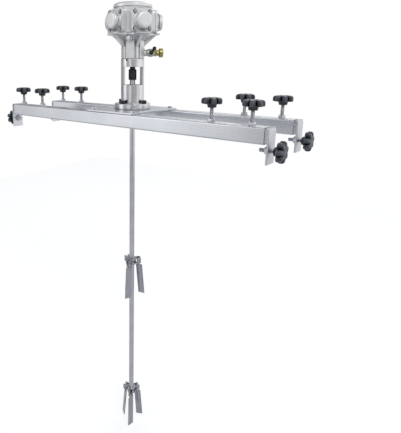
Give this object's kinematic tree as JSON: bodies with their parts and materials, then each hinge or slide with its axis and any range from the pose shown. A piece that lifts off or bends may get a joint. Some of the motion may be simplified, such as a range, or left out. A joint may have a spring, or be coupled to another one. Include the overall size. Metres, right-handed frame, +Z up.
{
  "type": "tank agitator",
  "caption": "Air-driven tank agitator: radial air motor and ball valve on an adjustable two-tube clamp crossbeam, long shaft with folding impellers.",
  "frame": {"origin": "on the shaft's axis, level with the undersides of the two beams, which rest on the tank's top rails", "axes": "+Z up along the shaft, towards the motor; +X along the beams, towards the end that lies to the right when the air valve is right of the motor; +Y towards the rear beam"},
  "size_m": [1.06, 0.2449, 1.5119],
  "materials": {
    "tube_steel": "dull brushed stainless tube and plate",
    "bright_steel": "bright turned steel",
    "stainless_sheet": "polished stainless",
    "plated_fitting": "nickel-plated, warm grey",
    "cast_aluminium": "fine blasted casting",
    "machined_aluminium": "turned, bright",
    "black_steel": "black oxide",
    "knob_plastic": "fine-grained black",
    "brass": "satin, slightly dulled"
  },
  "bodies": {
    "crossbeam": {"front_beam": "tube_steel", "rear_beam": "tube_steel", "weld_nuts": "tube_steel", "mounting_plate": "tube_steel", "plate_bolts": "black_steel", "coupling_housing": "machined_aluminium", "housing_screws": "black_steel", "motor_neck": "cast_aluminium", "neck_plug": "bright_steel", "crankcase": "cast_aluminium", "cylinder_covers": "cast_aluminium", "top_cover": "cast_aluminium", "motor_screws": "bright_steel", "pistons": "bright_steel", "main_bearings": "bright_steel", "valve_nipple": "plated_fitting", "valve_body": "plated_fitting", "air_plug": "brass"},
    "rotor": {"crankshaft": "bright_steel", "shaft_coupling": "black_steel", "rotor_screws": "black_steel", "agitator_shaft": "bright_steel", "impeller_hubs": "stainless_sheet", "hinge_pins": "bright_steel"},
    "upper_blade_1": {"upper_blade_1": "stainless_sheet"},
    "upper_blade_2": {"upper_blade_2": "stainless_sheet"},
    "upper_blade_3": {"upper_blade_3": "stainless_sheet"},
    "lower_blade_1": {"lower_blade_1": "stainless_sheet"},
    "lower_blade_2": {"lower_blade_2": "stainless_sheet"},
    "lower_blade_3": {"lower_blade_3": "stainless_sheet"},
    "arm_front_left": {"arm_front_left": "tube_steel"},
    "arm_front_right": {"arm_front_right": "tube_steel"},
    "arm_rear_left": {"arm_rear_left": "tube_steel"},
    "arm_rear_right": {"arm_rear_right": "tube_steel"},
    "lock_stud_1": {"lock_stud_1": "bright_steel"},
    "lock_stud_2": {"lock_stud_2": "bright_steel"},
    "lock_stud_3": {"lock_stud_3": "bright_steel"},
    "lock_stud_4": {"lock_stud_4": "bright_steel"},
    "lock_stud_5": {"lock_stud_5": "bright_steel"},
    "lock_stud_6": {"lock_stud_6": "bright_steel"},
    "lock_stud_7": {"lock_stud_7": "bright_steel"},
    "lock_stud_8": {"lock_stud_8": "bright_steel"},
    "lock_knob_1": {"lock_knob_1": "knob_plastic"},
    "lock_knob_2": {"lock_knob_2": "knob_plastic"},
    "lock_knob_3": {"lock_knob_3": "knob_plastic"},
    "lock_knob_4": {"lock_knob_4": "knob_plastic"},
    "lock_knob_5": {"lock_knob_5": "knob_plastic"},
    "lock_knob_6": {"lock_knob_6": "knob_plastic"},
    "lock_knob_7": {"lock_knob_7": "knob_plastic"},
    "lock_knob_8": {"lock_knob_8": "knob_plastic"},
    "clamp_stud_1": {"clamp_stud_1": "bright_steel"},
    "clamp_stud_2": {"clamp_stud_2": "bright_steel"},
    "clamp_stud_3": {"clamp_stud_3": "bright_steel"},
    "clamp_stud_4": {"clamp_stud_4": "bright_steel"},
    "clamp_knob_1": {"clamp_knob_1": "knob_plastic"},
    "clamp_knob_2": {"clamp_knob_2": "knob_plastic"},
    "clamp_knob_3": {"clamp_knob_3": "knob_plastic"},
    "clamp_knob_4": {"clamp_knob_4": "knob_plastic"},
    "valve_lever": {"valve_lever": "black_steel"}
  },
  "joints": [
    {"name": "shaft_spin", "type": "hinge", "parent": "crossbeam", "child": "rotor", "pos_m": [0, 0, 0], "axis": [0, 0, 1], "continuous": true},
    {"name": "upper_blade_1_swing", "type": "hinge", "parent": "rotor", "child": "upper_blade_1", "pos_m": [0.00814, -0.02364, -0.4945], "axis": [-0.9455, -0.3256, 0], "range_deg": [0, 75]},
    {"name": "upper_blade_2_swing", "type": "hinge", "parent": "rotor", "child": "upper_blade_2", "pos_m": [0.0164, 0.01887, -0.4945], "axis": [0.7547, -0.6561, 0], "range_deg": [0, 75]},
    {"name": "upper_blade_3_swing", "type": "hinge", "parent": "rotor", "child": "upper_blade_3", "pos_m": [-0.02454, 0.00477, -0.4945], "axis": [0.1908, 0.9816, 0], "range_deg": [0, 75]},
    {"name": "lower_blade_1_swing", "type": "hinge", "parent": "rotor", "child": "lower_blade_1", "pos_m": [0.01469, -0.02022, -1.0265], "axis": [-0.809, -0.5878, 0], "range_deg": [0, 75]},
    {"name": "lower_blade_2_swing", "type": "hinge", "parent": "rotor", "child": "lower_blade_2", "pos_m": [0.01017, 0.02284, -1.0265], "axis": [0.9135, -0.4067, 0], "range_deg": [0, 75]},
    {"name": "lower_blade_3_swing", "type": "hinge", "parent": "rotor", "child": "lower_blade_3", "pos_m": [-0.02486, -0.00261, -1.0265], "axis": [-0.1045, 0.9945, 0], "range_deg": [0, 75]},
    {"name": "arm_front_left_slide", "type": "slide", "parent": "crossbeam", "child": "arm_front_left", "axis": [-1, 0, 0], "range_m": [-0.003, 0.11]},
    {"name": "arm_front_right_slide", "type": "slide", "parent": "crossbeam", "child": "arm_front_right", "axis": [1, 0, 0], "range_m": [-0.003, 0.11]},
    {"name": "arm_rear_left_slide", "type": "slide", "parent": "crossbeam", "child": "arm_rear_left", "axis": [-1, 0, 0], "range_m": [-0.003, 0.11]},
    {"name": "arm_rear_right_slide", "type": "slide", "parent": "crossbeam", "child": "arm_rear_right", "axis": [1, 0, 0], "range_m": [-0.003, 0.11]},
    {"name": "lock_1_lift", "type": "slide", "parent": "crossbeam", "child": "lock_stud_1", "axis": [0, 0, 1], "range_m": [0, 0.0045]},
    {"name": "lock_1_turn", "type": "hinge", "parent": "lock_stud_1", "child": "lock_knob_1", "pos_m": [-0.338, -0.095, 0.08], "axis": [0, 0, 1], "range_deg": [0, 1082]},
    {"name": "lock_2_lift", "type": "slide", "parent": "crossbeam", "child": "lock_stud_2", "axis": [0, 0, 1], "range_m": [0, 0.0045]},
    {"name": "lock_2_turn", "type": "hinge", "parent": "lock_stud_2", "child": "lock_knob_2", "pos_m": [-0.446, -0.095, 0.08], "axis": [0, 0, 1], "range_deg": [0, 1082]},
    {"name": "lock_3_lift", "type": "slide", "parent": "crossbeam", "child": "lock_stud_3", "axis": [0, 0, 1], "range_m": [0, 0.0045]},
    {"name": "lock_3_turn", "type": "hinge", "parent": "lock_stud_3", "child": "lock_knob_3", "pos_m": [0.338, -0.095, 0.08], "axis": [0, 0, 1], "range_deg": [0, 1082]},
    {"name": "lock_4_lift", "type": "slide", "parent": "crossbeam", "child": "lock_stud_4", "axis": [0, 0, 1], "range_m": [0, 0.0045]},
    {"name": "lock_4_turn", "type": "hinge", "parent": "lock_stud_4", "child": "lock_knob_4", "pos_m": [0.446, -0.095, 0.08], "axis": [0, 0, 1], "range_deg": [0, 1082]},
    {"name": "lock_5_lift", "type": "slide", "parent": "crossbeam", "child": "lock_stud_5", "axis": [0, 0, 1], "range_m": [0, 0.0045]},
    {"name": "lock_5_turn", "type": "hinge", "parent": "lock_stud_5", "child": "lock_knob_5", "pos_m": [-0.338, 0.095, 0.08], "axis": [0, 0, 1], "range_deg": [0, 1082]},
    {"name": "lock_6_lift", "type": "slide", "parent": "crossbeam", "child": "lock_stud_6", "axis": [0, 0, 1], "range_m": [0, 0.0045]},
    {"name": "lock_6_turn", "type": "hinge", "parent": "lock_stud_6", "child": "lock_knob_6", "pos_m": [-0.446, 0.095, 0.08], "axis": [0, 0, 1], "range_deg": [0, 1082]},
    {"name": "lock_7_lift", "type": "slide", "parent": "crossbeam", "child": "lock_stud_7", "axis": [0, 0, 1], "range_m": [0, 0.0045]},
    {"name": "lock_7_turn", "type": "hinge", "parent": "lock_stud_7", "child": "lock_knob_7", "pos_m": [0.338, 0.095, 0.08], "axis": [0, 0, 1], "range_deg": [0, 1082]},
    {"name": "lock_8_lift", "type": "slide", "parent": "crossbeam", "child": "lock_stud_8", "axis": [0, 0, 1], "range_m": [0, 0.0045]},
    {"name": "lock_8_turn", "type": "hinge", "parent": "lock_stud_8", "child": "lock_knob_8", "pos_m": [0.446, 0.095, 0.08], "axis": [0, 0, 1], "range_deg": [0, 1082]},
    {"name": "clamp_1_travel", "type": "slide", "parent": "arm_front_left", "child": "clamp_stud_1", "axis": [-1, 0, 0], "range_m": [-0.006, 0.009]},
    {"name": "clamp_1_turn", "type": "hinge", "parent": "clamp_stud_1", "child": "clamp_knob_1", "pos_m": [-0.492, -0.095, -0.015], "axis": [-1, 0, 0], "range_deg": [-1442, 2162]},
    {"name": "clamp_2_travel", "type": "slide", "parent": "arm_front_right", "child": "clamp_stud_2", "axis": [1, 0, 0], "range_m": [-0.006, 0.009]},
    {"name": "clamp_2_turn", "type": "hinge", "parent": "clamp_stud_2", "child": "clamp_knob_2", "pos_m": [0.492, -0.095, -0.015], "axis": [1, 0, 0], "range_deg": [-1442, 2162]},
    {"name": "clamp_3_travel", "type": "slide", "parent": "arm_rear_left", "child": "clamp_stud_3", "axis": [-1, 0, 0], "range_m": [-0.006, 0.009]},
    {"name": "clamp_3_turn", "type": "hinge", "parent": "clamp_stud_3", "child": "clamp_knob_3", "pos_m": [-0.492, 0.095, -0.015], "axis": [-1, 0, 0], "range_deg": [-1442, 2162]},
    {"name": "clamp_4_travel", "type": "slide", "parent": "arm_rear_right", "child": "clamp_stud_4", "axis": [1, 0, 0], "range_m": [-0.006, 0.009]},
    {"name": "clamp_4_turn", "type": "hinge", "parent": "clamp_stud_4", "child": "clamp_knob_4", "pos_m": [0.492, 0.095, -0.015], "axis": [1, 0, 0], "range_deg": [-1442, 2162]},
    {"name": "valve_lever_turn", "type": "hinge", "parent": "crossbeam", "child": "valve_lever", "pos_m": [0.0396, 0.0403, 0.218], "axis": [0.7133, -0.7009, 0], "range_deg": [0, 90]}
  ],
  "couplings": [
    {"joint": "lock_1_turn", "follows": "lock_1_lift", "rad_per_m": 4188.8},
    {"joint": "lock_2_turn", "follows": "lock_2_lift", "rad_per_m": 4188.8},
    {"joint": "lock_3_turn", "follows": "lock_3_lift", "rad_per_m": 4188.8},
    {"joint": "lock_4_turn", "follows": "lock_4_lift", "rad_per_m": 4188.8},
    {"joint": "lock_5_turn", "follows": "lock_5_lift", "rad_per_m": 4188.8},
    {"joint": "lock_6_turn", "follows": "lock_6_lift", "rad_per_m": 4188.8},
    {"joint": "lock_7_turn", "follows": "lock_7_lift", "rad_per_m": 4188.8},
    {"joint": "lock_8_turn", "follows": "lock_8_lift", "rad_per_m": 4188.8},
    {"joint": "clamp_1_turn", "follows": "clamp_1_travel", "rad_per_m": 4188.8},
    {"joint": "clamp_2_turn", "follows": "clamp_2_travel", "rad_per_m": 4188.8},
    {"joint": "clamp_3_turn", "follows": "clamp_3_travel", "rad_per_m": 4188.8},
    {"joint": "clamp_4_turn", "follows": "clamp_4_travel", "rad_per_m": 4188.8}
  ]
}
